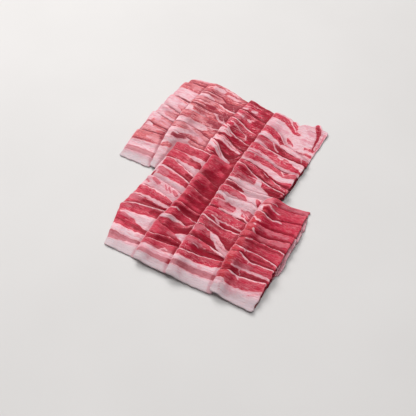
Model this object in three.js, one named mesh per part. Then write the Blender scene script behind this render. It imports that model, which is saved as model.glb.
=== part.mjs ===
// Sliced pork belly: thin slices laid like roof shingles in seven rows.
// Millimetres. +X runs along the front edge, +Y to the back, +Z up. The origin is at the middle of
// the footprint, on the surface that the meat lies on: the last lines move the whole there.
//
// A row is laid from its back end to its front end, so each slice covers the front of the one before
// it and leaves the far edge of that one showing. The rows are laid from left to right, and each one
// overlaps the right-hand ends of the rows before it.

import * as THREE from 'three';

// ---- driving dimensions, mm ----

const sliceThickness = 1.6;
const layerGap = 0.4; // clear height between two slices that lie on each other
const sliceDepth = 48; // from the skin-side fat edge to the inner edge
const frontEdgeStep = 3.5; // how far the front edges of the foremost slices lie behind each other
const crosswiseCells = 5; // facets across a slice
const lengthwiseCell = 10; // facet length along a row
const frontSnap = 3; // a front edge this close to a line of facets lies on it
const narrowestCell = 1.2; // a far edge this close to a line of facets takes its place
const restingSlope = 0.3; // steepest slope of a slice that bends over the front edge below it
const rowClearance = 0.4; // clear height of a row over the rows that it overlaps
const hangingSag = 0.25; // how quickly an overlapping row sinks from the row below it to the surface
const cornerCut = 2.2; // how far the corners of a slice are rounded off
const edgeWander = 0.9; // unevenness of a slice's edges
const sideWander = 1.6; // how far a slice lies out of its row's edge
const layerPitch = sliceThickness + layerGap;
const sideMargin = 0.05; // part of a row's width that its slices may stick out at a side

// One entry for each row. front is where its foremost edge lies. far is where the far edge of each
// slice starts at the left, from the back slice to the front one, and fall is how much nearer to
// the front that edge ends at the right. frontFall says the same of the row's front edge. left and
// right are the row's sides, as [y, x] stations.
const rows = [
  {
    name: 'a',
    front: -19,
    far: [143, 133, 103, 83, 66, 47, 27],
    fall: [-8, -2, 8, 12, 12, 10, -6],
    frontFall: 0,
    left: [[-19, -122], [20, -124], [60, -125], [140, -121]],
    right: [[-24, -79], [140, -80]],
    colour: 0xd9a0a4,
  },
  {
    name: 'b',
    front: -17,
    far: [146, 125, 113, 93, 79, 56, 38],
    fall: [7, -3, 3, -4, -5, 5, -1],
    frontFall: 2,
    left: [[-22, -80], [20, -85], [60, -88], [141, -88]],
    right: [[-22, -26], [141, -25]],
    colour: 0xd48790,
  },
  {
    name: 'c',
    front: 0,
    far: [146, 118, 97, 80, 62, 47],
    fall: [8, 5, 9, 13, 11, 14],
    frontFall: 16,
    left: [[0, -30], [60, -33], [140, -28]],
    right: [[0, 14], [140, 14]],
    colour: 0xb8485c,
  },
  {
    name: 'd',
    front: -141,
    far: [27, 15, 1, -13, -33, -48, -66, -85],
    fall: [2, 10, 16, 12, 9, 11, 3, -15],
    frontFall: 0,
    left: [[-141, -63], [-85, -77], [-50, -73], [-10, -68], [30, -66]],
    right: [[-145, -18], [30, -16]],
    colour: 0xc4566a,
  },
  {
    name: 'e',
    front: -144,
    far: [26, -7, -29, -56, -79, -89, -108, -117],
    fall: [-1, 5, 3, 0, -13, -4, -4, -9],
    frontFall: 0,
    left: [[-144, -22], [-95, -27], [-60, -21], [30, -18]],
    right: [[-144, 21], [-100, 18], [30, 15]],
    colour: 0xa63048,
  },
  {
    name: 'f',
    front: -145,
    far: [140, 110, 87, 72, 52, 37, 31, 2, -8, -19, -43, -58, -73, -92, -113],
    fall: [0, 30, 8, 1, -2, 12, 14, -5, -8, 2, 1, 0, 15, 5, -14],
    frontFall: -3,
    left: [[-145, 18], [-100, 16], [-70, 15], [40, 13], [132, 10]],
    right: [[-145, 73], [0, 75], [20, 82], [132, 84]],
    colour: 0xbc4a5e,
  },
  {
    name: 'g',
    front: -141,
    far: [-1, -13, -23, -46, -58, -69, -79, -91, -116],
    fall: [-14, -17, -10, -13, -14, -10, 0, -4, -12],
    frontFall: 0,
    left: [[-141, 70], [-100, 67], [4, 66]],
    right: [[-141, 122], [-60, 119], [4, 117]],
    colour: 0xb83f55,
  },
];

// ---- small helpers ----

// A repeatable draw from -1 to 1, so that every build gives the same slices.
function makeDraw(seed) {
  let state = seed;
  return () => {
    state = (state * 16807) % 2147483647;
    return (state / 2147483647) * 2 - 1;
  };
}

// The value at one place of a list of [place, value] stations, held level beyond its ends.
function atStation(stations, place) {
  const ordered = [...stations].sort((one, other) => one[0] - other[0]);
  if (place <= ordered[0][0]) return ordered[0][1];
  for (let i = 1; i < ordered.length; i += 1) {
    const [start, startValue] = ordered[i - 1];
    const [end, endValue] = ordered[i];
    if (place <= end) {
      return startValue + ((endValue - startValue) * (place - start)) / (end - start);
    }
  }
  return ordered[ordered.length - 1][1];
}

// ---- one row as a lattice: u runs across it from 0 to 1, v along it in mm ----

function lookUp(row, lattice, u, v) {
  const across = THREE.MathUtils.clamp(u, 0, 1) * crosswiseCells;
  const along = THREE.MathUtils.clamp((v - row.lines[0]) / lengthwiseCell, 0, row.lines.length - 1.001);
  const i = Math.min(Math.floor(across), crosswiseCells - 1);
  const j = Math.floor(along);
  const near = THREE.MathUtils.lerp(lattice[j][i], lattice[j][i + 1], across - i);
  const far = THREE.MathUtils.lerp(lattice[j + 1][i], lattice[j + 1][i + 1], across - i);
  return THREE.MathUtils.lerp(near, far, along - j);
}

function alongRow(row, profile, v) {
  const along = THREE.MathUtils.clamp((v - row.lines[0]) / lengthwiseCell, 0, row.lines.length - 1.001);
  const j = Math.floor(along);
  return THREE.MathUtils.lerp(profile[j], profile[j + 1], along - j);
}

function placeInRow(row, u, v) {
  const left = alongRow(row, row.leftLine, v);
  const right = alongRow(row, row.rightLine, v);
  const fall = alongRow(row, row.fallLine, v);
  return [left + (right - left) * u, v - fall * THREE.MathUtils.clamp(u, 0, 1)];
}

// The other way round, by a few steps of trial: which u and v lie at this x and y.
function findInRow(row, x, y) {
  let u = 0;
  let v = y;
  for (let step = 0; step < 8; step += 1) {
    const left = alongRow(row, row.leftLine, v);
    const right = alongRow(row, row.rightLine, v);
    u = (x - left) / (right - left);
    v = y + alongRow(row, row.fallLine, v) * THREE.MathUtils.clamp(u, 0, 1);
  }
  return [u, v];
}

// ---- heights ----

// The height of each slice's underside along the row: on the surface, or on the slice before it,
// with an even slope down from the front edge that it bends over.
function stackProfiles(row) {
  const tops = row.lines.map(() => 0);
  row.profiles = row.slices.map((slice) => {
    const reach = row.lines.map((line) => line > slice.front - lengthwiseCell);
    const under = row.lines.map((line) => {
      const held = row.lines.map((other, j) => tops[j] - restingSlope * Math.abs(line - other));
      return Math.max(...held);
    });
    const beforeFarEdge = row.lines.map((line) => line < slice.far + lengthwiseCell);
    under.forEach((height, j) => {
      if (reach[j] && beforeFarEdge[j]) tops[j] = Math.max(tops[j], height + layerPitch);
    });
    return under;
  });
  row.tops = tops;
}

// How high the rows that are already laid reach at one place.
function heightOfLaidRows(laidRows, x, y) {
  let highest = 0;
  for (const row of laidRows) {
    const [u, v] = findInRow(row, x, y);
    const inside = u > -sideMargin && u < 1 + sideMargin && v > row.lines[0] && v < row.lastLine;
    if (inside) {
      highest = Math.max(highest, lookUp(row, row.base, u, v) + alongRow(row, row.tops, v));
    }
  }
  return highest;
}

// A row hangs over what lies under it: nowhere lower than that, and otherwise sinking evenly.
function drapeRow(row, laidRows) {
  const reach = [-1, -0.5, 0, 0.5, 1];
  const held = row.lines.map((v) => {
    const line = [];
    for (let i = 0; i <= crosswiseCells; i += 1) {
      let highest = 0;
      for (const stepAcross of reach) {
        for (const stepAlong of reach) {
          const u = THREE.MathUtils.clamp((i + stepAcross) / crosswiseCells, -sideMargin, 1 + sideMargin);
          const [x, y] = placeInRow(row, u, v + stepAlong * lengthwiseCell);
          const height = heightOfLaidRows(laidRows, x, y);
          if (height > 0) highest = Math.max(highest, height + rowClearance);
        }
      }
      line.push(highest);
    }
    return line;
  });
  let base = held.map((line) => [...line]);
  const relaxingSteps = 120;
  for (let step = 0; step < relaxingSteps; step += 1) {
    base = base.map((line, j) => line.map((height, i) => {
      const before = base[Math.max(j - 1, 0)][i];
      const behind = base[Math.min(j + 1, base.length - 1)][i];
      const leftOf = line[Math.max(i - 1, 0)];
      const rightOf = line[Math.min(i + 1, crosswiseCells)];
      return Math.max(held[j][i], (before + behind + leftOf + rightOf) / 4 - hangingSag);
    }));
  }
  row.base = base;
}

// ---- one slice ----

function makeSlice(row, slice, profile, draw) {
  const innerLines = row.lines.filter((line) => (
    line > slice.front + narrowestCell && line < slice.far - narrowestCell
  ));
  const lines = [slice.front, ...innerLines, slice.far];
  const width = atStation(row.right, slice.far) - atStation(row.left, slice.far);
  const leftShift = (draw() * sideWander) / width;
  const rightShift = (draw() * sideWander) / width;
  const positions = [];
  const across = crosswiseCells + 1;

  for (const [j, line] of lines.entries()) {
    const atFrontOrFar = j === 0 || j === lines.length - 1;
    const inward = j === 0 ? 1 : -1;
    const nextLine = lines[j + inward] ?? line;
    const cutAlong = inward * Math.min(cornerCut, Math.abs(nextLine - line) * 0.6);
    for (let i = 0; i < across; i += 1) {
      const atSide = i === 0 || i === crosswiseCells;
      let u = i / crosswiseCells;
      let v = line;
      if (i === 0) u += leftShift + (draw() * edgeWander) / width;
      if (i === crosswiseCells) u += rightShift + (draw() * edgeWander) / width;
      if (atFrontOrFar) v += draw() * edgeWander * 0.6;
      if (atFrontOrFar && atSide) {
        u += ((i === 0 ? 1 : -1) * cornerCut) / width;
        v += cutAlong;
      }
      const [x, y] = placeInRow(row, u, v);
      const z = lookUp(row, row.base, u, v) + alongRow(row, profile, v);
      positions.push([x, y, z]);
    }
  }

  const layerSize = positions.length;
  const vertices = [];
  for (const [x, y, z] of positions) vertices.push(x, y, z);
  for (const [x, y, z] of positions) vertices.push(x, y, z + sliceThickness);

  const triangles = [];
  for (let j = 0; j + 1 < lines.length; j += 1) {
    for (let i = 0; i < crosswiseCells; i += 1) {
      const corner = j * across + i;
      const rightOf = corner + 1;
      const behind = corner + across;
      const diagonal = behind + 1;
      triangles.push(corner, behind, diagonal, corner, diagonal, rightOf);
      for (const index of [corner, diagonal, behind, corner, rightOf, diagonal]) {
        triangles.push(index + layerSize);
      }
    }
  }

  // The rim joins the underside to the top all the way round.
  const rim = [];
  for (let i = 0; i < across; i += 1) rim.push(i);
  for (let j = 1; j < lines.length; j += 1) rim.push(j * across + crosswiseCells);
  for (let i = crosswiseCells - 1; i >= 0; i -= 1) rim.push((lines.length - 1) * across + i);
  for (let j = lines.length - 2; j > 0; j -= 1) rim.push(j * across);
  rim.forEach((low, index) => {
    const next = rim[(index + 1) % rim.length];
    triangles.push(low, next, next + layerSize, low, next + layerSize, low + layerSize);
  });

  const geometry = new THREE.BufferGeometry();
  geometry.setAttribute('position', new THREE.Float32BufferAttribute(vertices, 3));
  geometry.setIndex(triangles);
  geometry.computeVertexNormals();
  return geometry;
}

// ---- the whole ----

function prepareRow(row) {
  const fallStations = [...row.far.map((far, index) => [far, row.fall[index]]), [row.front, row.frontFall]];
  const lastLine = row.far[0] + lengthwiseCell;
  row.lines = [];
  for (let line = row.front - lengthwiseCell; line < lastLine + lengthwiseCell; line += lengthwiseCell) {
    row.lines.push(line);
  }
  row.lastLine = row.lines[row.lines.length - 1];
  row.leftLine = row.lines.map((line) => atStation(row.left, line));
  row.rightLine = row.lines.map((line) => atStation(row.right, line));
  row.fallLine = row.lines.map((line) => atStation(fallStations, line));
  row.slices = row.far.map((far, index) => {
    const slicesInFront = row.far.length - 1 - index;
    const hiddenFront = Math.max(row.front + slicesInFront * frontEdgeStep, far - sliceDepth);
    const front = slicesInFront === 0 ? row.front : hiddenFront;
    const nearestLine = row.lines.find((line) => Math.abs(line - front) <= frontSnap);
    return { far, front: nearestLine ?? front };
  });
}

const porkBelly = new THREE.Group();
const laidRows = [];
rows.forEach((row, rowIndex) => {
  const draw = makeDraw(7919 * (rowIndex + 1));
  prepareRow(row);
  stackProfiles(row);
  drapeRow(row, laidRows);
  row.slices.forEach((slice, index) => {
    const material = new THREE.MeshStandardMaterial({ color: row.colour, roughness: 0.42, metalness: 0 });
    const mesh = new THREE.Mesh(makeSlice(row, slice, row.profiles[index], draw), material);
    mesh.name = `slice_${row.name}${index + 1}`;
    porkBelly.add(mesh);
  });
  laidRows.push(row);
});

const bounds = new THREE.Box3().setFromObject(porkBelly);
porkBelly.position.x = -(bounds.min.x + bounds.max.x) / 2;
porkBelly.position.y = -(bounds.min.y + bounds.max.y) / 2;

export default porkBelly;
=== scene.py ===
import math

import bpy
import numpy as np
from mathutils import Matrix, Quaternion, Vector


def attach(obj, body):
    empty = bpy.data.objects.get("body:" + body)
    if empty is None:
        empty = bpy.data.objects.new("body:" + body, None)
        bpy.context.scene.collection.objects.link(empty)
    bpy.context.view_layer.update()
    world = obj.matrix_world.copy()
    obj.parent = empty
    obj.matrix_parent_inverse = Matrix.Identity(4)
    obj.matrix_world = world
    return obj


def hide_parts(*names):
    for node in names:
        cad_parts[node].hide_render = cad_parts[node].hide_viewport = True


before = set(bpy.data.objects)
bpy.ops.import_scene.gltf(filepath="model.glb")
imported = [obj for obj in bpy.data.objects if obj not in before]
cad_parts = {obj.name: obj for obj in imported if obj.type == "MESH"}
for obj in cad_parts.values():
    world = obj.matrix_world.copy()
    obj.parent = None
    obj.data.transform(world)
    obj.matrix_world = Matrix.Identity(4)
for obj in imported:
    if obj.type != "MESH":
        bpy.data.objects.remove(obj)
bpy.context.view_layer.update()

# Sliced pork belly, laid like roof shingles in seven rows. Lengths are millimetres, and only the
# finished meshes, the lights and the camera are in metres. x runs along the front edge, y to the back
# and z up.

# One table for each row, from the lowest row to the topmost one.
# front is where its foremost edge lies, and frontFall how much nearer that edge ends at the right.
# left and right are its sides, as (y, x) stations.
# corner is the radius of the slices' inner left corners, and fold the height of the fold at the left.
# edgeFat and sideFat are how wide the rims of fat along the inner edge and the left side are.
# shade is the strength of the painted shade behind the next slice's inner edge, and crease the
# strength of the painted shadow line right behind it. creaseFrom is the share of the width from
# which the crease is full. rightShade is the strength of the painted shade along the right-hand side,
# litWarmSide that of the painted light, a warmer red, on the lit left flank, and fades how much lean
# fades near the skin.
# streaky is how streaked the lean is, and mauve how mauve the fat, at the front and at the back.

# The slices of a row go from the back one to the front one. far is where the inner edge starts at the
# left, and fall how much nearer to the front it ends at the right. out is how far the left side
# sticks out, and tail how far the fat does on the right. The marbling is drawn on a flat plan of the
# row: edge is the inner edge there, a chain of x, y, and each stroke is a chain of x, y, half width.
# The ground is lean or fat, strokes of fat come first, then lean, then veins of fat, and pale and
# dark are soft patches. Dark patches are darker meat and painted shade in crevices and folds, and
# most pale patches of the g row are a painted highlight in front of the inner edges.

rowA = {
    "name": "a", "slot": "pale_slices", "front": -19, "frontFall": 0,
    "left": [(-19, -122), (20, -124), (60, -125), (140, -121)], "right": [(-24, -79), (140, -80)],
    "corner": 4.0, "fold": 0.0, "edgeFat": 0.35, "shade": 0.6, "crease": 0.8, "rightShade": 0.25,
    "streaky": (0.7, 0.7), "mauve": (0.2, 0.35), "sideFat": 0.9, "creaseFrom": 0.6,
}
rowA["slices"] = [
    {"far": 143, "fall": -8, "out": -6, "edgeFat": -0.1, "edge": (36,291, 45,294, 60,296, 70,297.3),
     "fat": [(33,290,1.4, 45,293.6,1.4, 66,295.6,1.4)],
     "dark": [(36,287.5,0.2, 50,290,0.2, 68,291,0.2)]},
    {"far": 133, "fall": -2, "out": -2.5, "edge": (31,282.4, 45,284.5, 60,284, 69,283.7),
     "fat": [(22,262,8.5, 45,261.5,9, 66,259.5,9)], "pale": [(50,277,3, 62,276,4)],
     "dark": [(32,279,-0.4, 42,277,-0.2)]},
    {"far": 103, "fall": 8, "out": -2.2, "edge": (28,254.7, 40,253, 60,249, 67,247.6), "ground": "fat",
     "lean": [(30,253,0.2, 40,251,0.7, 62,246,0.8), (49,239,2, 56,236.5,4, 64,233,5)],
     "pale": [(48,240,2, 52,238,3)]},
    {"far": 83, "fall": 12, "out": -2, "edge": (28,234.3, 40,231.5, 60,226, 69,223.5), "ground": "fat",
     "lean": [(36,232,0.4, 60,225,0.8), (44,221,4, 62,219,5)], "veins": [(44,224,0.4, 60,219,0.5)],
     "pale": [(42,222,3, 52,219,3)], "dark": [(58,222,0.8, 60,218,1)]},
    {"far": 66, "fall": 12, "out": -0.8, "edge": (24,218.3, 37,213.5, 60,209, 69,207.2),
     "fat": [(21,209,10, 33,208,7), (22,203,4.5, 22,185,4.2)], "lean": [(32,202.5,2.6, 40,198,2.8)],
     "veins": [(40,207.5,1.1, 60,203.5,1.2), (42,202,0.7, 58,199,0.8)], "pale": [(40,205,6, 60,202,6)]},
    {"far": 47, "fall": 10, "out": -3.5, "edge": (28,199.4, 38,195.5, 55,195, 61,193, 68,190.7),
     "fat": [(22,196,4.5, 35,194,3.2)], "veins": [(36,191.5,0.7, 60,191,0.8)],
     "pale": [(30,187,3, 44,187,3)], "dark": [(57,190,1.5, 59,178,2)]},
    {"far": 27, "fall": -6, "out": 0, "edge": (25,180.1, 40,182, 61,185, 68,186),
     "fat": [(22,156,5.8, 40,158.5,6, 70,161,8), (22,134,8, 45,137,8, 72,138,8),
        (24,146,4.5, 27,146,3)],
     "veins": [(42,173,1, 48,173.5,0.8)], "pale": [(30,145,4, 66,149,4), (48,176,4, 62,174,5)],
     "dark": [(28,165,0.8, 50,168.5,0), (57,182,1, 59,178,1.5)]},
]

rowB = {
    "name": "b", "slot": "pale_slices", "front": -17, "frontFall": 2,
    "left": [(-22, -80), (20, -85), (60, -88), (141, -88)], "right": [(-22, -26), (141, -25)],
    "corner": 3.0, "fold": 0.8, "edgeFat": 0.5, "shade": 0.6, "crease": 0.5, "rightShade": 0.3,
    "streaky": (0.95, 0.95), "mauve": (-0.1, 0.1),
}
rowB["slices"] = [
    {"far": 146, "fall": 7, "edge": (60,297, 75,299.5, 86,299, 96,296.5, 105,293, 119,288, 125,285.9),
     "fat": [(72,291.5,3.2, 84,291,3.2), (84,296,1, 95,294.5,1.3, 106,290,1.3),
        (92,288,1.9, 108,283.5,1.7)],
     "veins": [(62,290,0.6, 70,291,0.8)], "pale": [(74,286,1, 110,286,1)],
     "dark": [(61,293,-0.4, 75,296.5,-0.6, 95,294.5,-0.6, 118,286,0.2), (60,285,-0.2, 90,284,-0.4)]},
    {"far": 125, "fall": -3,
     "edge": (60,281, 75,281, 88,280, 94,275.5, 99,273, 108,273.5, 119,274.5, 123,274.9),
     "fat": [(56,273.2,3.3, 72,273,3.1, 81,271.5,1.5)],
     "veins": [(107,273,0.1, 113,263,0.4), (60,280,0.6, 80,279.6,0.5, 88,279,0.4)],
     "pale": [(84,275,3, 92,272,3)],
     "dark": [(62,277.4,0.5, 88,276.6,0.5), (96,268.5,4, 116,268.5,4.5)]},
    {"far": 113, "fall": 3, "edge": (58,269.6, 80,268.5, 92,268, 100,264, 119,261, 123,260.4),
     "fat": [(90,267.6,1.3, 101,262.8,1.6, 119,259.8,1.6)],
     "veins": [(60,261,0.9, 75,261,0.7, 84,262,0.2), (104,258,0.1, 110,251,0.3),
        (60,256.4,0.5, 76,255.6,0.5), (84,260.8,0.2, 96,258.6,0.5)],
     "pale": [(60,266,2, 84,266,2)], "dark": [(79,257,2.2, 89,257.3,2.2), (106,253,2, 116,253,2)]},
    {"far": 93, "fall": -4,
     "edge": (56,254.3, 60,254, 75,253, 90,252, 97,252.5, 105,252, 119,250, 123,249.4),
     "fat": [(56,246,7, 61,245,5, 65,241,2.5, 84,241.3,1.4),
        (90,255,1.1, 97,249,1.4, 103,243,1.6, 110,240,1.9, 121,239,2.1)],
     "veins": [(105,251,0.1, 112,241,0.5), (66,250.5,0.6, 84,249,0.6), (78,244.5,0.3, 92,245.5,0.6)],
     "dark": [(101,246.5,4, 115,246.5,4.5)]},
    {"far": 79, "fall": -5, "edge": (55,239.4, 60,239.5, 78,240, 92,237.5, 104,236.5, 121,235.9),
     "fat": [(56,221,4.8, 80,221.5,5, 92,220.5,5, 98,219,1.5), (97,224.3,1, 111,224.3,1.5)],
     "veins": [(79,239,0.2, 84,231,0.1, 90,227,0.5), (62,235,0.1, 76,233,0.3)],
     "pale": [(82,233,3, 90,231,2)], "dark": [(94,234,3.2, 113,230,5)]},
    {"far": 56, "fall": 5,
     "edge": (57,216.5, 60,216.5, 73,216.5, 85,214.5, 95,211.5, 105,207, 119,203, 122,202.1),
     "fat": [(56,201.5,4.4, 70,201,4.5, 84,205,3.6, 93,204,3, 102,199,2.4),
        (74,215,0.9, 84,211,2, 88,208,3)],
     "lean": [(84,211.5,0.8, 100,207.5,1.2), (92,202,0.7, 98,199,0.9)],
     "pale": [(88,206,6, 102,201,6, 114,196,8), (62,212,3, 76,212,2.5)]},
    {"far": 38, "fall": -1, "edge": (59,197.1, 70,196.5, 85,195.5, 100,192, 119,190, 124,189.5),
     "ground": "fat",
     "lean": [(69,190,3.2, 76,192,3.4, 83,194,2.4), (67,171,3.6, 74,172,3.8), (92,191,3, 116,187,4)],
     "veins": [(62,171,1, 65,166,1)], "dark": [(69,189.5,3, 80,192.5,3)]},
]

rowC = {
    "name": "c", "slot": "red_slices", "front": 0, "frontFall": 16,
    "left": [(0, -30), (60, -33), (140, -28)], "right": [(0, 14), (140, 14)], "corner": 2.5,
    "fold": 0.8, "edgeFat": 0.7, "shade": 0.42, "crease": 0.7, "rightShade": 0.38, "streaky": (0.9, 0.9),
    "mauve": (-0.2, -0.2),
}
rowC["slices"] = [
    {"far": 146, "fall": 8, "edgeFat": -1.2, "edge": (122,295.5, 135,292.5, 157,288, 163,286.8),
     "fat": [(133,276.6,1.6, 138,277.6,2.3), (117,277.5,0.8, 126,277.5,1.4)],
     "veins": [(119,290.5,0, 130,289,-0.1), (118,283,0.4, 126,281,0.3)],
     "pale": [(118,277,2, 128,279,2), (134,277,2, 140,275,2)],
     "dark": [(122,292,1.5, 140,288.5,1.5, 158,285,1.5), (146,281,3, 154,275,4)]},
    {"far": 118, "fall": 5, "edge": (117,274.4, 128,274, 140,271, 157,267, 164,265.4),
     "fat": [(115,274.8,1.3, 130,274.3,1.1), (118,265.8,1.2, 127,264,1.6),
        (136,262.3,2.3, 138,262,2.1)],
     "pale": [(118,266,3, 130,263,3), (116,259,2, 124,258,2)], "dark": [(146,263,4, 156,259,4)]},
    {"far": 97, "fall": 9,
     "edge": (113,258.7, 117,257.5, 127,254.5, 135,251, 150,244, 157,241, 161,239.3),
     "fat": [(117,257.4,1.5, 127,253.9,1.4, 135,250.3,1.3, 150,243,1.1)],
     "veins": [(118,249,0.9, 130,244.5,0.8), (124,245,0.5, 140,238.5,0.5, 146,234,0.7, 148,228,0.8),
        (116,243,1.2, 121,239.5,0.8)],
     "pale": [(120,249,0.5, 136,242,0.5)], "dark": [(150,232,3, 156,230,4)]},
    {"far": 80, "fall": 13,
     "edge": (111,241.9, 120,237, 128,231.5, 133,229, 145,225, 157,219.5, 161,217.7),
     "fat": [(112,241,1.9, 120,236.6,1.8, 128,231.2,1.7, 133,228.7,1.6, 145,224.6,1.3, 157,219.5,1.1),
        (111,230,5, 120,229,4.2, 129,225.5,1.2)],
     "lean": [(112,231.5,0.2, 120,229.5,0.5, 127,227,0.3)], "dark": [(134,224,3, 154,215,4)]},
    {"far": 62, "fall": 9, "edge": (112,222.5, 122,221.5, 130,219.5, 140,213.5, 157,207.5, 163,205.4),
     "fat": [(111,217,3.6, 130,213.8,3.3, 142,208.2,2.8, 153,204,1.4)],
     "lean": [(113,218.5,0.2, 126,215.6,0.5, 140,210,0.5, 148,206.5,0.3)],
     "dark": [(114,211,1.5, 132,205.5,2.5, 147,200,3.5)]},
    {"far": 51, "fall": 0,
     "edge": (110,210.8, 113,209.5, 122,205.5, 130,199.5, 137,196, 143,195, 149,198, 156,205,
        162,207.7),
     "fat": [(111,204.5,4.5, 125,199,4.2, 137,192,4, 145,190,3.2)],
     "lean": [(113,206,0.3, 124,200.5,0.6, 134,194,0.5)], "dark": [(147,193,4, 157,194,5)]},
]

rowD = {
    "name": "d", "slot": "red_slices", "front": -141, "frontFall": 0,
    "left": [(-141, -63), (-85, -77), (-50, -73), (-10, -68), (30, -66)],
    "right": [(-145, -18), (30, -16)], "corner": 3.5, "fold": 0.8, "edgeFat": 0.75, "shade": 0.5,
    "crease": 0.5, "rightShade": 0.75, "streaky": (0.4, 0.4), "mauve": (0.1, 0.3),
}
rowD["slices"] = [
    {"far": 27, "fall": 2, "out": 1, "edge": (78,184.2, 90,187.5, 100,188, 112,187, 129,187),
     "fat": [(95,187.3,1.2, 110,186.7,1.4, 125,186.5,1), (94,172.6,1, 110,170.6,2.6, 129,168,4.8)]},
    {"far": 15, "fall": 10, "out": 0, "edge": (79,172, 93,172.5, 100,171.5, 108,169, 129,164.3),
     "fat": [(91,158,1, 105,155.5,2.6, 115,153,4, 129,149,6.5)], "dark": [(108,167,1.5, 127,161,3)]},
    {"far": 1, "fall": 16, "out": -0.6,
     "edge": (79,158, 90,157.5, 100,154, 110,150, 120,146, 130,141.1),
     "fat": [(80,157.5,0.5, 92,156.5,0.9, 110,149.4,1.2, 128,141.2,1.3), (77.5,156,3.2, 77.5,134,5)],
     "dark": [(116,142,1.5, 126,138,2.5)]},
    {"far": -13, "fall": 12, "out": -3.5, "edge": (80,143.4, 95,142.5, 105,139.5, 115,137, 130,130.7),
     "fat": [(78,142,2, 92,141.2,1.6, 104,139.2,1.1, 115,136.6,1.4, 128,131,1.6),
        (76,133,5, 80,131,3.5), (76,124,4, 95,124.2,4.2, 110,122.4,4.2, 130,118,5)],
     "veins": [(89,139,0.2, 91,131,0), (96,138,0, 98,131,-0.2)], "pale": [(82,135,5, 92,133,4)]},
    {"far": -33, "fall": 9, "out": -1.0,
     "edge": (77,121.5, 88,121.5, 100,119, 112,117, 125,113, 130,111.5), "ground": "fat",
     "lean": [(85,118.5,1.8, 93,115,2.8), (102,116,1, 107,110.5,1.6), (108,114.5,1.2, 113,109,1.4),
        (115,112.5,1.6, 121,108,2.6), (79,114,1.2, 83,111,1.4), (80,105.2,0.4, 92,104.5,0.5)],
     "pale": [(80,116,5, 95,115,6, 118,110,6)]},
    {"far": -48, "fall": 11, "out": -2,
     "edge": (76,105.8, 86,105, 96,105.5, 110,102.5, 123,98, 131,95.2),
     "fat": [(73,105,1, 95,104.4,1.2, 110,101.3,1),
        (74,89,0.8, 86,90,1.2, 95,90.4,1.9, 108,88.4,2.6, 118,87.5,2.6, 124,88,1.5)],
     "veins": [(92,103,0.2, 94,98,-0.1), (103,101,0.1, 108,94,-0.1), (97,102,0.1, 101,95,-0.1),
        (110,99,0, 114,94,-0.2)]},
    {"far": -66, "fall": 3, "out": -2,
     "edge": (74,87.1, 85,87.5, 95,87.5, 104,87, 112,84.8, 124,84.5, 131,84.3),
     "veins": [(77,83,0.1, 83,85.2,0.3, 89,86.5,0.6)], "pale": [(75,83,4, 87,84,4)],
     "dark": [(92,83,2, 106,83.5,2), (108,82.5,1.6, 124,83,1.6)]},
    {"far": -85, "fall": -15, "out": -1, "edge": (73,69.6, 80,73.5, 88,78, 104,80.5, 124,82, 130,82.5),
     "fat": [(72,69,0.7, 80,73.3,1, 88,77.6,1.1, 104,80,1.2, 124,81.3,1),
        (80,59.5,1, 90,60.5,3, 100,60.3,4.5, 107,59.4,7.4, 116,58,9.2, 122,57,9.5),
        (70,36.5,4.2, 90,36,4.9, 110,36,5.1, 130,36.5,5.2),
        (78,13,7.2, 95,13.5,7, 103,15.5,8.2, 113,17,8.6, 130,18,9)],
     "veins": [(108,24.6,0.6, 114,25.2,1, 124,26,1.2)],
     "pale": [(84,57,2, 92,56,2), (86,24,5, 104,25,5, 124,27,3)],
     "dark": [(80,47.5,-0.6, 108,47,2.5, 122,45,3), (112,75,3, 123,73,4)]},
]

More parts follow.
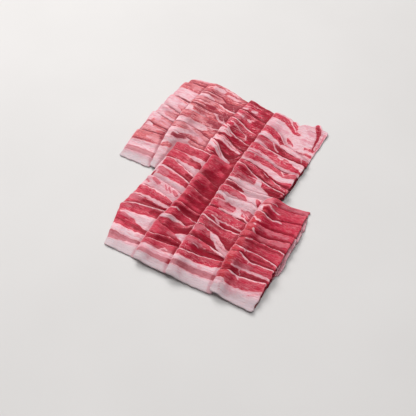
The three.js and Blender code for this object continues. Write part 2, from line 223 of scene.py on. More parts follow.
rowE = {
    "name": "e", "slot": "red_slices", "front": -144, "frontFall": 0,
    "left": [(-144, -22), (-95, -27), (-60, -21), (30, -18)],
    "right": [(-144, 21), (-100, 18), (30, 15)], "corner": 3.0, "fold": 0.9, "edgeFat": 0.15,
    "shade": 0.6, "crease": 0.4, "rightShade": 0.9, "streaky": (0.2, 0.2), "mauve": (0.3, 0.3),
    "sideFat": 0.5,
}
rowE["slices"] = [
    {"far": 26, "fall": -1, "edge": (124,188.5, 127,188, 140,186, 159,181, 162,180.2),
     "veins": [(130,179.5,-0.1, 142,175,-0.2), (129,171.5,0.1, 140,169,-0.05, 156,163,-0.2)],
     "dark": [(134,158,5, 156,150,7), (146,174,3, 157,168,4)]},
    {"far": -7, "fall": 5, "edge": (124,154, 127,153, 140,148.5, 159,141, 162,139.8),
     "fat": [(126,152.8,0.2, 140,148,0, 158,141,-0.1)], "veins": [(129,141,0.1, 145,135,0)],
     "dark": [(132,137,3.5, 156,128,5), (148,142,3, 158,138,4)]},
    {"far": -29, "fall": 3, "edge": (126,130.5, 140,125.5, 159,120, 163,118.8),
     "fat": [(125,130.5,0.5, 134,126.8,0.3, 159,119.5,0.1)],
     "veins": [(126,118.5,0.2, 136,115,0.2, 145,111.5,-0.1)],
     "dark": [(130,113,2.5, 157,106,4), (146,119,2, 157,114,3)]},
    {"far": -56, "fall": 0, "edge": (124,104.2, 140,101, 159,96.5, 164,95.3),
     "fat": [(124,103.7,0.4, 140,100.5,0.1, 159,95.9,0.2)],
     "veins": [(126,93.3,0.9, 136,91.5,0.7), (136,91,0.2, 159,84,0.5)],
     "dark": [(129,97,2.5, 140,95,2.5, 157,89,4)]},
    {"far": -79, "fall": -13, "edge": (120,81.2, 125,81, 136,80.5, 147,78, 152,77, 160,80, 165,81.9),
     "fat": [(123,77.5,3.2, 135,77,2.8, 147,76.2,1.3), (147,76.6,1, 159,79.3,1.3),
        (150,73.5,0.5, 159,76,0.8)],
     "dark": [(146,67,3, 152,69,3.5, 159,68,4)]},
    {"far": -89, "fall": -4, "edge": (120,68, 128,64, 140,62, 149,60.5, 153,63, 160,65, 167,67),
     "fat": [(150.5,58.8,1.6, 155,59.2,4, 162,58.5,6)], "veins": [(129,57,-0.1, 134,50,-0.1)],
     "pale": [(142,57,2, 150,56,2)]},
    {"far": -108, "fall": -4, "edge": (120,49.9, 130,49, 138,51.5, 147,54, 160,51, 167,49.4),
     "fat": [(119,49.6,0.8, 130,48.6,0.5, 138,51,0.3, 146,53.5,0.5, 152,53.8,0.4, 160,50.6,0.3)],
     "dark": [(128,45.5,1.5, 145,49,2.5, 158,48.5,2)]},
    {"far": -117, "fall": -9, "edge": (121,40.5, 132,42, 143,44.3, 160,45.5, 167,46),
     "fat": [(119,40.4,0.7, 132,41.6,0.5, 143,43.8,0.4, 160,45,0.3),
        (122,29.5,3.2, 140,30,3.3, 164,31,3.2), (122,15,6.4, 140,15.2,6, 164,15.5,5.4),
        (118,6,5, 168,6,5)],
     "veins": [(146,35,0.8, 150,38,0.9, 154,36,0.6)], "pale": [(122,24,5, 164,25,5)]},
]

rowF = {
    "name": "f", "slot": "red_slices", "front": -145, "frontFall": -3,
    "left": [(-145, 18), (-100, 16), (-70, 15), (40, 13), (132, 10)],
    "right": [(-145, 73), (0, 75), (20, 82), (132, 84)], "corner": 4.0, "fold": 0.9, "edgeFat": 0.55,
    "shade": 0.66, "crease": 0.8, "rightShade": 0.2, "streaky": (0.55, 0.6), "mauve": (0.0, 0.3),
    "sideFat": 0.6,
}
rowF["slices"] = [
    {"far": 140, "fall": 0, "ground": "fat",
     "edge": (158,290, 180,290, 185,287.5, 190,288.5, 195,284.5, 200,288.5, 211,290, 215,296.5,
        219,296.5, 223,289, 233,287.9),
     "lean": [(153,284,3.9, 177,283,4, 188,276,3.6, 196,269.5,3, 202,267,1.4),
        (187,285,1.8, 192,280,2.8, 195,276,1.6),
        (215.7,293,2.4, 218,288,3.1, 221,284,2.9, 223.5,277,2.3, 225,268,1.7, 226,258,1.1, 226.5,250,1),
        (208,262.5,0.4, 222,262.5,0.6), (230.2,282,0.3, 231,266,0.9, 231,250,0.6),
        (192,256,1.6, 198,249.5,2.4, 203,246.3,1), (218,249,1.8, 228,248.5,2.3),
        (211,239,0.7, 220,239.5,1.8, 229,239,2.4)],
     "veins": [(181,286,0.8, 188,279.5,0.8, 196,271.5,0.8)],
     "pale": [(213,276,3, 218,274,3), (208,262,2, 220,262,2), (230.5,282,1, 231,250,1),
        (160,269,2, 186,264,2)],
     "dark": [(216,292,-0.8, 218,286,-0.5), (222,286,3.2, 225,272,3.2, 227,252,2.6),
        (208,279.5,-0.5, 214,280.5,0, 220,281,0), (217,291,1.5, 221,285,2)]},
    {"far": 110, "fall": 30,
     "edge": (159,263.4, 170,261.3, 180,258.7, 187,253.5, 194,245.5, 201,242, 216,237, 231,233),
     "fat": [(153,247,4, 170,246,4, 180,243,3.6, 187,241,1.8),
        (178,258.8,0.7, 186,253.6,1.1, 194,245.3,1.1),
        (192,241,2.8, 203,237,3.8, 216,234.5,3.2, 232,231,3)],
     "dark": [(184,250,2, 193,245,2)]},
    {"far": 87, "fall": 8,
     "edge": (159,242.5, 170,241.6, 180,241, 187,240, 195,236, 203,232.5, 212,231, 232,229.9),
     "fat": [(153,230.5,3.4, 168,230.5,2.7, 178,228.5,1)],
     "veins": [(181,241,0.9, 185,234,0.9, 192,229,0.9), (222,230,0.7, 224,225,0.7)],
     "dark": [(188,237,2.5, 198,230,2.5)], "pale": [(158,234,2, 170,234,2)]},
    {"far": 72, "fall": 1,
     "edge": (157,229, 170,229.3, 180,228.2, 190,226.7, 200,225, 212,223.3, 230,221.9),
     "fat": [(168,229,1, 190,226.2,1.3, 200,224.4,1.4, 210,223,1.4), (194,222,1.2, 200,221,1.8),
        (209,222.3,1.6, 217,219.3,3.2, 230,215.5,5),
        (153,215,3.2, 170,215,3.6, 180,214,3.3, 190,211.3,2.4, 200,207.6,1.9, 212,204.6,2.2,
         230,203.5,2.4)],
     "lean": [(158,215,0.9, 176,214.6,0.9)], "pale": [(158,216,2.5, 172,215,2.5)]},
    {"far": 52, "fall": -2,
     "edge": (158,211.6, 170,211.5, 180,211, 190,208.6, 200,204.6, 212,201.6, 229,202),
     "fat": [(153,203,3, 160,200,2.5, 165,199,1.6),
        (165,199.2,1.8, 175,199.5,2.6, 190,197,3.4, 200,193.8,4.4, 208,190.5,4.4, 216,189,3.8,
         230,190,4)],
     "veins": [(210,201,0.9, 214,196,0.7), (170,212,0.5, 172,207,0.4)],
     "pale": [(156,206,3, 163,203,3)]},
    {"far": 37, "fall": 12,
     "edge": (157,196.9, 165,196, 178,195, 188,191.7, 197,188, 205,184.6, 213,181.6, 230,177.8),
     "veins": [(205,185,0.6, 226,174.5,0.6), (207,188,0.4, 224,179,0.4), (160,197,1, 172,197.5,0.8)],
     "dark": [(188,189,2, 200,184,2.5)]},
    {"far": 31, "fall": 14,
     "edge": (157,190.5, 168,188.6, 175,185.6, 182,182.6, 190,180.6, 200,177, 212,172.6, 228,171.4),
     "fat": [(157,190,1.2, 168,188.2,1.1, 175,185.2,1.1, 182,182.2,1.1, 190,180,1.4, 200,176.6,1.4,
         212,172.2,1, 228,171,0.8), (190,179,1.4, 193.5,172,3.6, 194,164,6),
        (158,162.4,1.4, 170,162,3.6, 182,162.5,5.6, 196,161,7.5, 206,156.5,6.5, 212,154,5),
        (178,176.5,0.4, 188,176.8,0.7)],
     "pale": [(168,172,2, 186,170,2)], "dark": [(166,182,3, 180,178,3), (206,166,3, 220,166,4)]},
    {"far": 2, "fall": -5, "edge": (159,160.8, 170,159.6, 185,158, 212,160, 222,160.7), "ground": "fat",
     "lean": [(155,155,3.8, 172,154.6,3.8, 180,153,2.6, 184.5,152,1)],
     "veins": [(157,151,0.8, 186,150.3,0.7)], "dark": [(164,155.5,2, 180,154,2)]},
    {"far": -8, "fall": -8, "edge": (158,150.6, 170,150.6, 185,150, 191,148.5, 212,150, 221,150.6),
     "ground": "fat",
     "lean": [(154,145,4.6, 175,145,4.8, 187,143.8,3.8, 192.5,142.3,1.4),
        (203.5,147,1, 207,144,3.2, 209,139,1.4)],
     "pale": [(176,144,3, 188,142,3)]},
    {"far": -19, "fall": 2,
     "edge": (159,139.3, 165,138.6, 172,136.8, 185,139, 200,140, 212,137, 221,134.8),
     "fat": [(153,136.5,2.6, 168,136,2.8, 177,134.3,4.6, 190,133.3,7, 214,132.5,6.4),
        (191,128,2.5, 194,121,4.2, 194,117,5),
        (173,116.4,0.9, 190,116.4,2.4, 203,114.8,1.5, 212,112.2,1)],
     "veins": [(160,126.6,0.6, 170,127.2,0.9, 178,130.2,1.2), (203,121,0.5, 209,119,0.8),
        (198,124,0.5, 204,117,0.4)],
     "pale": [(200,123,3, 211,124,3), (172,123,3, 186,121,3)]},
    {"far": -43, "fall": 1, "edge": (160,114.7, 175,115, 190,114, 200,112.6, 212,111, 221,109.8),
     "veins": [(170,103.3,0.7, 180,101.2,1, 196,100.4,0.9, 214,98,1.1), (178,101,1.4, 184,95,1.4)],
     "dark": [(184,96.5,1.6, 212,96,2.2), (164,109,-0.8, 206,107,-0.8)]},
    {"far": -58, "fall": 0, "edge": (161,99.3, 165,98.6, 175,96.2, 183,95, 190,93.6, 212,93, 220,92.8),
     "fat": [(155,99.8,1, 165,98.2,1.3, 173,96.4,2.4, 183,94.8,1.4, 190,93,1, 213,92.5,1.1)],
     "veins": [(158,84,0.8, 172,85.2,0.5)],
     "dark": [(168,92.2,1.1, 194,91.2,1.1), (187,80,1.8, 200,77,4, 212,73,5)]},
    {"far": -73, "fall": 15,
     "edge": (162,84, 170,84, 180,81, 190,78.5, 197,74.5, 203,70.5, 212,66.5, 222,63.6),
     "fat": [(183,78,1.3, 190,73.5,4.2, 200,66.3,4.4, 207,62.3,4.3, 216,59.5,4.2)],
     "lean": [(188,75.5,0, 197,68,0.25, 206,63.5,0.1), (194,73,0, 202,67.5,0.2, 210,64,0)],
     "pale": [(160,78,3, 172,79,3)], "dark": [(160,69,2.4, 176,69.5,2.6, 188,67.5,2.2)]},
    {"far": -92, "fall": 5, "edge": (162,66.5, 175,66.5, 187,65.6, 194,63.8, 203,62, 212,58, 219,54.9),
     "fat": [(187,65.4,0.9, 194,63.4,1.4, 203,60.6,1.8, 213,56.4,1.6)],
     "veins": [(174,58,0.7, 181,56,0.5)], "dark": [(176,53,3.5, 195,54,4, 210,54,3.5)],
     "pale": [(164,61,3, 180,58,3)]},
    {"far": -113, "fall": -14, "edge": (162,43.8, 170,44, 180,46, 195,48.5, 212,51, 222,52.5),
     "fat": [(157,43.2,1.1, 172,43.8,1, 184,46.2,0.8, 200,49,0.6),
        (153,32,3, 170,31.8,3.4, 190,33.2,3.3, 205,34.6,4, 218,37,6.6),
        (150,15,6.2, 166,15.6,6, 190,16,6, 222,17.5,6.2), (148,5,7, 226,5,8)],
     "veins": [(168,30,0.1, 214,30.5,0.1), (166,32,0.2, 167,23,0)], "pale": [(162,26,5, 218,27.5,5)]},
]

rowG = {
    "name": "g", "slot": "red_slices", "front": -141, "frontFall": 0,
    "left": [(-141, 70), (-100, 67), (4, 66)], "right": [(-141, 122), (-60, 119), (4, 117)],
    "corner": 3.0, "fold": 1.6, "edgeFat": 0.1, "shade": 0.38, "crease": 0.6, "rightShade": 0.0,
    "streaky": (0.25, 0.25), "mauve": (0.35, 0.3), "sideFat": 0.1, "litWarmSide": 1.0, "fades": 0.35,
}
# Most pale patches here are a painted highlight in front of the inner edges, and the dark ones painted
# shade.
rowG["slices"] = [
    {"far": -1, "fall": -14, "tail": 4.5,
     "edge": (213,159, 219,162, 230,162, 242,160.3, 256,161, 266,162),
     "fat": [(211,157,0.6, 219,161.3,0.8), (222,153.3,0.4, 228,153,0.8, 231,151.4,0.6)],
     "pale": [(213,154,4, 220,156,4), (236,156,3, 262,157,3)]},
    {"far": -13, "fall": -17, "tail": 5.0, "edge": (211,147.8, 222,150.5, 245,150.6, 265,151.5),
     "fat": [(211,146,3.2, 214.5,139,2.6), (215,146.6,1, 222,147.8,1.2, 228,143,0.8, 237,141.6,0.9)],
     "dark": [(219,142,1.8, 232,136,1.5)]},
    {"far": -23, "fall": -10, "tail": 3.0,
     "edge": (211,138.8, 222,135, 232,131.3, 239,133.6, 250,136.2, 266,138),
     "fat": [(211,137,2.6, 217,136.8,1.2, 225,133,0.9, 232,130.6,1, 237,132.2,1.3, 243,131.6,0.8)],
     "veins": [(213,126,1.1, 222,122,1.2)], "dark": [(220,119.5,1.4, 240,119.5,1.2, 262,121.5,1)],
     "pale": [(240,129,-1.5, 262,131,-1.5)]},
    {"far": -46, "fall": -13, "tail": 4.0, "edge": (210,115.9, 225,116.6, 240,117, 266,119),
     "fat": [(212,123,0.9, 216,117,1.2, 220,113.5,0.8)],
     "veins": [(220,108,1.1, 223,104.5,1.1, 227,101.5,0.9)],
     "dark": [(226,105.5,1.2, 244,105.5,1, 262,108,0.6)], "pale": [(226,113,2, 258,114,2)]},
    {"far": -58, "fall": -14, "tail": 1.5, "edge": (210,103, 228,103, 240,103.6, 252,105.6, 267,107.1),
     "pale": [(232,100,3, 262,102,3)]},
    {"far": -69, "fall": -10, "edge": (212,92, 225,94.5, 240,94.8, 267,93.6),
     "fat": [(236,94.6,0.6, 252,94.3,0.9, 266,93,1.1), (220,91,0.9, 226,93.4,0.9)],
     "dark": [(222,89.8,1.4, 264,90.3,1.2)], "pale": [(230,83,-1.5, 262,83,-1.5)]},
    {"far": -79, "fall": 0, "edge": (212,79.5, 226,77.6, 240,78, 250,76.5, 267,73.2),
     "fat": [(213,80,1.2, 220,77.6,0.8, 226,77,1.2, 240,77.4,0.8, 250,75.9,1.1, 267,72.8,1.3),
        (226.5,77,0.9, 227.5,73.5,0.4)],
     "dark": [(234,72,1.2, 262,70.5,1)]},
    {"far": -91, "fall": -4, "edge": (212,69.8, 225,72, 231,69.5, 238,66.6, 250,67, 267,66.5),
     "fat": [(222,71.6,0.8, 227,71,1.3, 233,67.6,1.3, 238,66,1.2, 250,66.4,1, 266,65.8,1),
        (237,66,0.9, 236.6,62.5,0.4), (230,53.2,0.9, 240,54,1.5, 255,54,1.9, 267,53,1.5),
        (232,53,0.7, 236.5,45.5,0.3), (224,52.5,1.2, 231,53,1.4)],
     "dark": [(240,49.6,1, 266,49.8,1), (218,49,2, 230,49,2)], "pale": [(226,56,3, 240,58,3)]},
    {"far": -116, "fall": -12, "out": 0,
     "edge": (213,42.9, 219,44, 226,45.3, 234,44.3, 242,45.6, 267,47.5),
     "fat": [(222,45,0.9, 228,44.2,1.5, 236,44.8,2.2, 243,45,1.2, 256,45.5,1, 270,47.2,1.2),
        (232,44,1.2, 237,40.6,0.8), (259,45,0.4, 257,41,-0.1),
        (212,25,8.5, 219,24.5,9, 222,22,8, 227,21,8, 240,21,8, 250,21.3,8.6, 258,22.5,9.5,
         272,25.5,10.5), (208,10,7, 275,10,8)],
     "lean": [(249,22,0.1, 258,27,0.5, 268,32,0.4)],
     "dark": [(246,20,-1, 258,25,-0.5, 268,30,-0.5), (225,31,0, 224,24,0.5, 226,17,0)],
     "pale": [(232,24,2, 246,21,2), (256,39,0.5, 259,43,0.5)]},
]

rows = [rowA, rowB, rowC, rowD, rowE, rowF, rowG]


# A sum of seven sine waves in random directions, each 0.7 to 1.5 times length long, from about -1 to 1.
def slowWaves(x, y, length, seed):
    draw = np.random.default_rng(seed)
    total = np.zeros(np.broadcast(x, y).shape)
    for _ in range(7):
        turn = draw.uniform(0, 2 * math.pi)
        step = 2 * math.pi / (length * draw.uniform(0.7, 1.5))
        along = x * math.cos(turn) + y * math.sin(turn)
        total += np.sin(along * step + draw.uniform(0, 2 * math.pi))
    return total / 3.2


# Such waves along one line, y = 0, as (height, length).
def wavesAlong(x, size, seed):
    return size[0] * slowWaves(x, 0 * x, size[1], seed)


# The value at a place, running evenly between stations of (place, value).
def station(stations, place):
    ordered = sorted(stations)
    return np.interp(place, [s[0] for s in ordered], [s[1] for s in ordered])


# 0 below low, 1 above high, and the cubic 3t^2 - 2t^3 between.
def smoothStep(low, high, value):
    t = np.clip((value - low) / (high - low), 0, 1)
    return t * t * (3 - 2 * t)


# 1 up to the nearer of two distances, falling smoothly to 0 at the farther one.
def fade(reach, distance):
    return smoothStep(reach[1], reach[0], distance)


# The four cubic B-spline weights at t, from 0 to 1, between two lattice values.
def splineWeights(t):
    return ((1 - t) ** 3 / 6, (3 * t ** 3 - 6 * t ** 2 + 4) / 6,
            (-3 * t ** 3 + 3 * t ** 2 + 3 * t + 1) / 6, t ** 3 / 6)


# The smooth value of a lattice at fractional places: the spline-weighted sum of the 16 round each.
def readLattice(lattice, along, across):
    j = np.floor(along).astype(int)
    i = np.floor(across).astype(int)
    total = np.zeros(along.shape)
    for stepJ, weightJ in enumerate(splineWeights(along - j)):
        for stepI, weightI in enumerate(splineWeights(across - i)):
            atJ = np.clip(j + stepJ - 1, 0, lattice.shape[0] - 1)
            atI = np.clip(i + stepI - 1, 0, lattice.shape[1] - 1)
            total += weightJ * weightI * lattice[atJ, atI]
    return total


layers = {
    "thickness": 1.6,
    "gap": 0.4,             # clear height between two slices that lie on each other
    "depth": 48.0,          # from the skin side to the inner edge
    "frontStep": 3.5,       # how far the foremost slices' front edges lie behind each other
    "frontReach": 5.0,      # a slice carries the next one this far beyond its own edges
    "restingSlope": 0.3,    # steepest slope of a slice that bends over the edge below it
    "rowGap": 0.4,          # clear height of a row over the rows that it overlaps
    "rowReach": 3,          # they carry it this far beyond their edges
    "sag": 0.0025,          # how quickly an overlapping row sinks to the surface, per mm2
    "relaxing": 1500,       # steps of the sinking
    "cellAlong": 2.5,       # lattice of a row
    "cellsAcross": 22,
    "beforeFront": 10,      # the lattice reaches this far beyond the row's ends
    "behindBack": 15,
    "besideRow": 0.1,       # and this share of its width beside it
    "foldPlace": 10.0,      # from the left side to the middle of the fold
    "foldWidth": 5.5,
    "rumple": 0.25,         # height and length of the slow waves in a row
    "rumpleLength": 19.0,
    "rumpleTop": 1.2,       # they are cut off at this share of it
    "shift": (1.566, -2.438),           # from the rows' coordinates to the part's
    "gridCorner": (-160.0, -180.0),     # the grid of heights, in cells of 1 mm
    "gridCells": (330, 350),
}


# The lines of a row's lattice, and for each slice its name, how much of it shows, and where its skin
# side lies: its depth in front of the inner edge, or a step behind the slice in front of it.
def prepareRow(row):
    slices = row["slices"]
    front = row["front"]
    row["lines"] = np.arange(front - layers["beforeFront"], slices[0]["far"] + layers["behindBack"],
                             layers["cellAlong"])
    row["falls"] = [(piece["far"], piece["fall"]) for piece in slices] + [(front, row["frontFall"])]
    for index, piece in enumerate(slices):
        inFront = len(slices) - 1 - index
        stepped = max(front + inFront * layers["frontStep"], piece["far"] - layers["depth"])
        piece["front"] = stepped if inFront else front
        piece["name"] = f"{row['name']}{index + 1}"
        piece["shows"] = piece["far"] - (slices[index + 1]["far"] if inFront else front)


# A place from u, 0 to 1 across the row, and v, mm along it: x runs evenly from side to side, and y is
# v less the fall there times u.
def placeInRow(row, u, v):
    left = station(row["left"], v)
    right = station(row["right"], v)
    return left + (right - left) * u, v - station(row["falls"], v) * np.clip(u, 0, 1)


# The height of each slice's underside along the row: on the surface, or on the slice before it, with
# an even slope down from the edge that it bends over.
def stackProfiles(row):
    lines = row["lines"]
    distance = np.abs(lines[:, None] - lines[None, :])
    tops = np.zeros(len(lines))
    for piece in row["slices"]:
        under = np.max(tops[None, :] - layers["restingSlope"] * distance, axis=1)
        piece["under"] = under
        reach = layers["frontReach"]
        held = (lines > piece["front"] - reach) & (lines < piece["far"] + reach)
        raised = np.maximum(tops, under + layers["thickness"] + layers["gap"])
        tops = np.where(held, raised, tops)


# The heights of all that is laid so far, on a square grid.
class Heights:
    def __init__(self, corner, cells):
        self.corner = corner
        self.grid = np.zeros(cells)

    # The cell of each place: its distance from the grid's corner, rounded.
    def indexOf(self, x, y):
        i = np.clip(np.round(x - self.corner[0]).astype(int), 0, self.grid.shape[0] - 1)
        j = np.clip(np.round(y - self.corner[1]).astype(int), 0, self.grid.shape[1] - 1)
        return i, j

    # Each cell keeps the highest of the points laid in it.
    def lay(self, x, y, z):
        i, j = self.indexOf(x, y)
        np.maximum.at(self.grid, (i.ravel(), j.ravel()), z.ravel())

    # The highest value within reach of each cell.
    def spread(self, reach):
        highest = self.grid.copy()
        for stepX in range(-reach, reach + 1):
            for stepY in range(-reach, reach + 1):
                if stepX ** 2 + stepY ** 2 <= reach ** 2 + 1:
                    highest = np.maximum(highest, np.roll(self.grid, (stepX, stepY), (0, 1)))
        return highest

    # How far each place stands above the mean height round it, with Gaussian weights of that width.
    def relief(self, x, y, z, width, reach):
        mean = self.spread(1)
        steps = np.arange(-reach, reach + 1)
        weights = np.exp(-0.5 * (steps / width) ** 2)
        weights = weights / weights.sum()
        for axis in (0, 1):
            mean = sum(weight * np.roll(mean, step, axis) for step, weight in zip(steps, weights))
        return z - mean[self.indexOf(x, y)]


# A row hangs over what lies under it: nowhere lower than that, and otherwise each lattice value
# sinks to the mean of its neighbours less the sag, step by step. The fold, a bell curve across the
# row, and slow waves lie on top of that.
def drapeRow(row, heights):
    u = np.linspace(0, 1, layers["cellsAcross"] + 1)[None, :]
    x, y = placeInRow(row, u, row["lines"][:, None] + 0 * u)
    below = heights.spread(layers["rowReach"])[heights.indexOf(x, y)]
    held = np.where(below > 0, below + layers["rowGap"], 0)
    base = held.copy()
    sag = layers["sag"] * layers["cellAlong"] ** 2
    for _ in range(layers["relaxing"]):
        padded = np.pad(base, 1, mode="edge")
        mean = (padded[:-2, 1:-1] + padded[2:, 1:-1] + padded[1:-1, :-2] + padded[1:-1, 2:]) / 4
        base = np.maximum(held, mean - sag)
    width = station(row["right"], row["lines"]) - station(row["left"], row["lines"])
    fold = np.exp(-((u * width[:, None] - layers["foldPlace"]) / layers["foldWidth"]) ** 2)
    rumple = (1 + slowWaves(x, y, layers["rumpleLength"], ord(row["name"]))) / 2
    row["base"] = base + row["fold"] * fold + layers["rumple"] * np.clip(rumple, 0, layers["rumpleTop"])


# The height of a slice's underside: the draped lattice of its row plus its profile along the row.
def heightInRow(row, piece, u, v):
    along = (v - row["lines"][0]) / layers["cellAlong"]
    beside = layers["besideRow"]
    across = np.clip(u, -beside, 1 + beside) * layers["cellsAcross"]
    profile = readLattice(piece["under"][:, None], along, np.zeros(along.shape))
    return readLattice(row["base"], along, across) + profile


# Reaches are pairs for fade. Waves are a height and a length.
cut = {
    "fineCell": 0.95,       # mesh of what shows, and of this much beyond it
    "fineBeyond": 5,
    "coarseCell": 3.0,      # mesh of what lies under other slices
    "rimLines": (0.0, 0.1, 0.35, 0.8),  # lattice lines over the rounded rim
    "evenFrom": 1.5,        # where the even lattice starts
    "rimRadius": 0.8,
    "corner": 2.5,          # radius of the corners, apart from the inner left one
    "edgeWaves": (0.3, 9.0),    # unevenness of the edges, twice as high on the right
    "skinWaves": (0.3, 11.0),
    "leftOut": 0.5,         # most that a side sticks out or stands back
    "rightOut": 1.0,
    "lift": (0.25, 1.0),    # how far the inner edge stands off, at the left and at the right
    "liftReach": (1.5, 7.0),
    "liftMean": 0.7,        # share of it, and the waves on that
    "liftWaves": (0.5, 13.0),
    "liftMost": 2,
    "droop": 0.5,           # share that its outermost part loses
    "droopReach": (0, 1.5),
    "planFrom": (450.0, -420.0, 713.0),     # the plan is drawn slanting, as from this point
}


# Lattice lines along one side of a slice, close together at its rounded rims and coarse where hidden.
def linesOver(length, showing):
    rim = np.array(cut["rimLines"])
    start = cut["evenFrom"]
    fineEnd = min(max(showing, start + 0.5), length - start - 0.1)
    cells = round((fineEnd - start) / cut["fineCell"])
    fine = np.linspace(start, fineEnd, max(1, cells) + 1)
    rest = length - start - fineEnd
    coarse = []
    if rest > 0.5:
        coarse = np.linspace(fineEnd, length - start, int(rest / cut["coarseCell"]) + 2)[1:]
    return np.concatenate([rim, fine, coarse, length - rim[::-1]])


# How far a corner of that radius pulls the edge in: the radius less the circle's height at that
# distance from the side.
def cornerPull(distance, radius):
    inside = np.clip(radius - distance, 0, radius)
    return radius - np.sqrt(np.clip(radius ** 2 - inside ** 2, 0, None))


# A drawn inner edge as points, and the share of the width at which each point lies.
def drawnEdge(piece):
    edge = np.array(piece["edge"], float).reshape(-1, 2)
    return edge, (edge[:, 0] - edge[0, 0]) / (edge[-1, 0] - edge[0, 0])


# How the inner edge bows: the drawn edge less its chord, as a weighted mean over five lattice lines.
def bowOf(piece, share):
    edge, shares = drawnEdge(piece)
    chord = edge[0, 1] + (edge[-1, 1] - edge[0, 1]) * shares
    bow = np.interp(share, shares, edge[:, 1] - chord)
    kernel = np.array([1, 2, 3, 2, 1]) / 9
    return np.convolve(np.pad(bow, 2, mode="edge"), kernel, mode="valid")


# Places on the flat plan of the marbling: the drawn edge at that share of the width, plus the way
# from the inner edge. A place that lies higher than that edge is drawn farther from planFrom.
def onPlan(piece, share, wayX, wayY, rise):
    edge, shares = drawnEdge(piece)
    planX = edge[0, 0] + (edge[-1, 0] - edge[0, 0]) * share + wayX
    planY = np.interp(share, shares, edge[:, 1]) + wayY
    fromX, fromY, fromZ = cut["planFrom"]
    return planX + (planX - fromX) * rise / fromZ, planY + (planY - fromY) * rise / fromZ


# A slice is a lattice from its inner edge to its skin side. Its plan follows the row's sides and the
# drawn inner edge, with rounded corners, and its top and underside meet in a rim that is a half
# circle across.
def makeSlice(row, piece, following, seed, heights):
    draw = np.random.default_rng(seed)
    width = station(row["right"], piece["far"]) - station(row["left"], piece["far"])
    depth = piece["far"] - piece["front"]
    shows = piece["shows"]
    acrossMm = linesOver(width, width)
    alongMm = linesOver(depth, shows + abs(piece["fall"]) + cut["fineBeyond"])
    a, b = np.meshgrid(acrossMm, alongMm)
    share = a / width

    leftOut = piece.get("out", draw.uniform(-cut["leftOut"], cut["leftOut"]))
    rightOut = draw.uniform(-cut["rightOut"], cut["rightOut"])
    leftOut = leftOut + wavesAlong(b, cut["edgeWaves"], seed + 5)
    rightOut = rightOut + 2 * wavesAlong(b, cut["edgeWaves"], seed + 6)
    bulge = np.sin(math.pi * np.clip((b - shows) / max(depth - shows, 1), 0, 1))
    rightOut = rightOut + piece.get("tail", 0.0) * np.sqrt(bulge)
    u = share + (-leftOut * (1 - share) + rightOut * share) / width

    corner = cut["corner"]
    rightPull = cornerPull(width - acrossMm, corner)
    pullFar = np.maximum(cornerPull(acrossMm, row["corner"]), rightPull)
    pullNear = np.maximum(cornerPull(acrossMm, corner), rightPull)
    farEdge = piece["far"] + bowOf(piece, acrossMm / width) - pullFar
    farEdge = farEdge + wavesAlong(acrossMm, cut["edgeWaves"], seed + 7)
    nearEdge = piece["front"] + pullNear + wavesAlong(acrossMm, cut["skinWaves"], seed + 8)
    v = farEdge * (1 - b / depth) + nearEdge * b / depth
    x, y = placeInRow(row, u, v)
    height = heightInRow(row, piece, u, v)

    # The inner edge stands off a little, most at the right, and its outermost part droops again.
    lift = np.interp(share, (0, 1), cut["lift"])
    lift = lift * (cut["liftMean"] + wavesAlong(a, cut["liftWaves"], seed + 9))
    lift = np.clip(lift, 0, cut["liftMost"])
    droop = 1 - cut["droop"] * fade(cut["droopReach"], b)
    height = height + lift * fade(cut["liftReach"], b) * droop

    away = np.minimum(np.minimum(a, width - a), np.minimum(b, depth - b))
    inRim = np.clip(1 - away / cut["rimRadius"], 0, 1)
    half = layers["thickness"] / 2 * np.sqrt(1 - inRim ** 2)
    middle = height + layers["thickness"] / 2
    heights.lay(x, y, middle + half)

    farX, farY = placeInRow(row, u[:1], farEdge[None, :])
    plan = onPlan(piece, share, x - farX, y - farY, height - height[0])
    values = markSlice(row, piece, following, a, b, (width, depth), plan, seed)
    return meshOfSlice(piece, (x, y), middle, half, plan, values, draw)


# Reaches are pairs for fade, and starts and steps are pairs for smoothStep.
marks = {
    "bends": ((8.0, 0.45), (2.8, 0.15)),    # length and height of the waves that bend the strokes
    "deepFat": 4.0,             # depth in fat of a ground of fat, and of one of lean
    "deepLean": -6.0,
    "softStep": (-3.5, 1.5),    # a soft patch grows between these depths in its stroke
    "crevice": (0.3, 5.5),      # painted shade behind the next slice's inner edge
    "creviceStart": (0.5, 4),   # from the slice's own inner edge
    "creviceLeft": 0.45,        # share of it at the left-hand end
    "crease": (0.4, 2.2),       # painted shadow line right behind the next slice's inner edge
    "creaseStart": (0.5, 2),
    "rightSide": (3, 12),       # painted shade along the right-hand side
    "paintedLight": (2.5, 8.0),       # painted highlight in front of the slice's own inner edge
    "brightStart": (0.4, 2.0),
    "warm": (5, 13),            # painted light: warmer lean on the lit left flank
    "rindShade": (3, 17),            # greyer fat near the skin, partly painted shade; and faded lean
    "faded": (15, 26),
    "paleSide": (0.5, 3.0),     # painted highlight and paler meat along the raised left side
    "paleSideMost": 0.8,
    "backStep": (145, 185),     # from the row's front look to its back one, on the plan
    "tailWidth": 3.5,           # fat that sticks out on the right, and the painted shade on it
    "tailShade": 0.45,
    "edgeFat": (0.8, (0.8, 9.0)),   # mean share of a rim's width, and the waves on that
    "sideFat": (0.6, (1.0, 12.0)),
    "reliefWidth": 2.6,         # hollows and ridges stand out from a mean over about this width
    "reliefReach": 12,
}


# The distance of each place from a stroke's outline, positive inside: the half width, which runs
# evenly between the points, less the distance to the nearest line of the chain.
def strokeDepth(stroke, x, y):
    points = np.array(stroke, float).reshape(-1, 3)
    best = np.full(x.shape, -1e3)
    for start, end in zip(points[:-1], points[1:]):
        run = end[:2] - start[:2]
        t = np.clip(((x - start[0]) * run[0] + (y - start[1]) * run[1]) / max(run @ run, 1e-6), 0, 1)
        away = np.hypot(x - start[0] - t * run[0], y - start[1] - t * run[1])
        best = np.maximum(best, start[2] + t * (end[2] - start[2]) - away)
    return best


